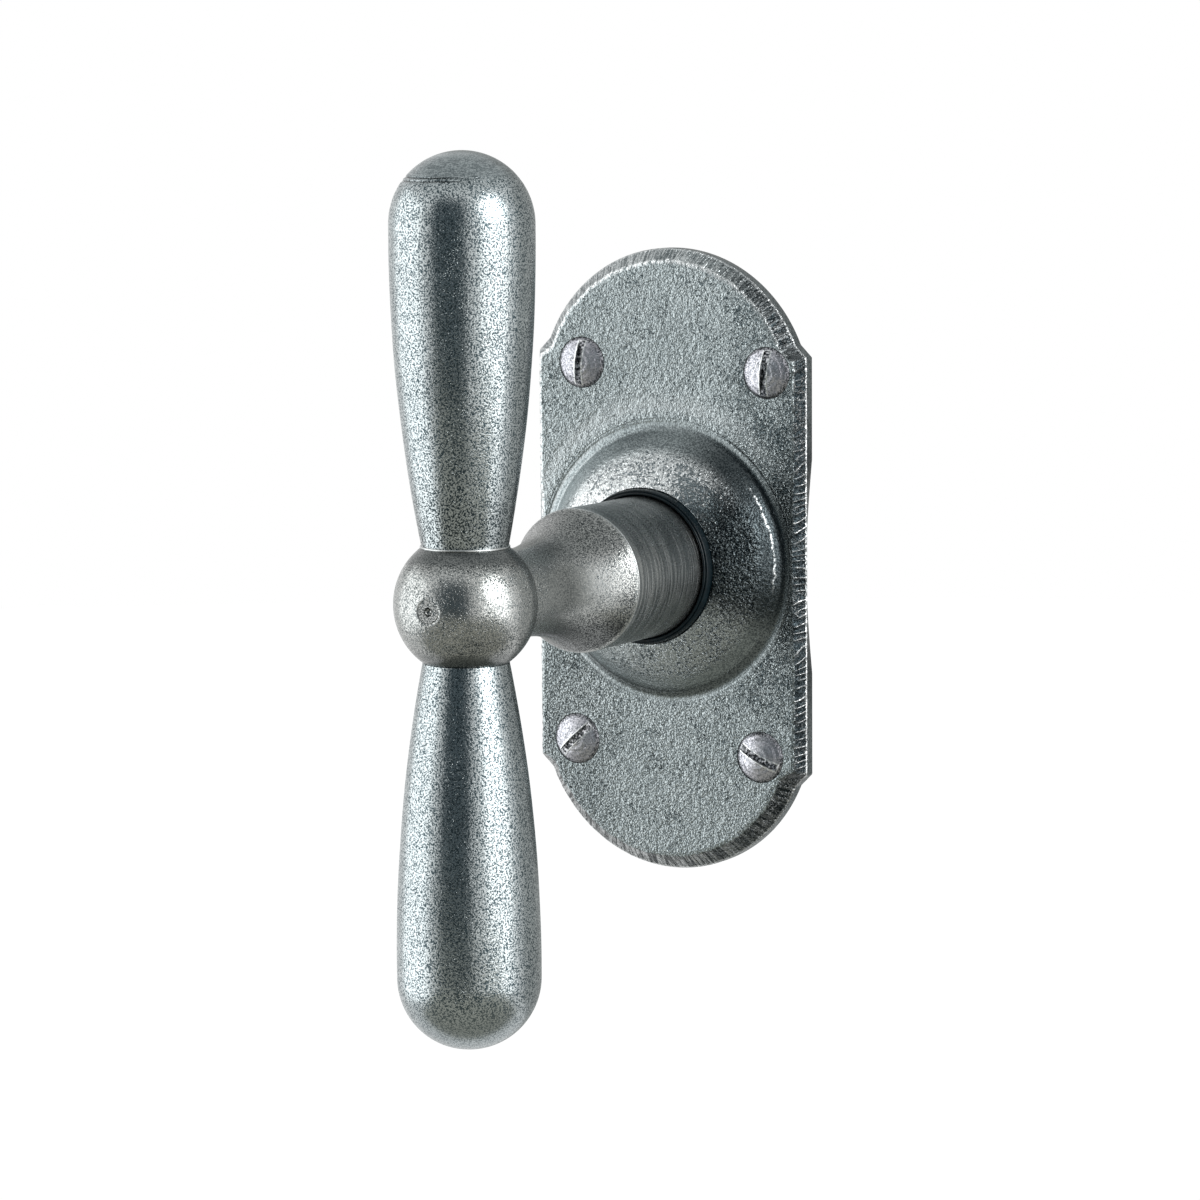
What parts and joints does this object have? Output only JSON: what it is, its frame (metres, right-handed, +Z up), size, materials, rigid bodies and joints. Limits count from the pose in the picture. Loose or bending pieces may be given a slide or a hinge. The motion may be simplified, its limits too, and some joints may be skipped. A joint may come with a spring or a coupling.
{
  "type": "forged window handle",
  "caption": "Two-armed forged T handle on a domed, bevelled arched plate, with a detented square spindle for a tilt-and-turn window.",
  "frame": {"origin": "where the handle's turning axis, which is the spindle's axis, meets the window's face behind the plate", "axes": "+Z up along the plate and the grips when closed, +Y into the window along the spindle, -Y towards the room"},
  "size_m": [0.0428, 0.0972, 0.1184],
  "materials": {
    "plate_iron": "hammered, pewter grey",
    "screw_iron": "dull grey",
    "neck_iron": "turned, pewter grey",
    "grip_iron": "satin, blue-grey",
    "black_nylon": "matt",
    "spring_steel": "dark bright",
    "zinc_steel": "zinc plated"
  },
  "bodies": {
    "fixed": {"cover_plate": "plate_iron", "corner_screws": "screw_iron", "neck_bush": "black_nylon", "thrust_washer": "black_nylon", "detent_housing": "black_nylon", "left_detent_spring": "spring_steel", "right_detent_spring": "spring_steel", "base_plate": "zinc_steel", "upper_support_lug": "zinc_steel", "lower_support_lug": "zinc_steel", "fixing_screws": "zinc_steel"},
    "handle": {"ball_and_neck": "neck_iron", "upper_grip": "grip_iron", "lower_grip": "grip_iron", "grip_stud": "zinc_steel", "disc_spring": "spring_steel", "spindle": "zinc_steel", "spindle_pin": "spring_steel", "detent_cam": "zinc_steel", "retaining_ring": "spring_steel"}
  },
  "joints": [
    {"name": "handle_turn", "type": "hinge", "parent": "fixed", "child": "handle", "pos_m": [0, 0, 0], "axis": [0, -1, 0], "range_deg": [0, 180], "deforming": ["left_detent_spring", "right_detent_spring"]}
  ]
}
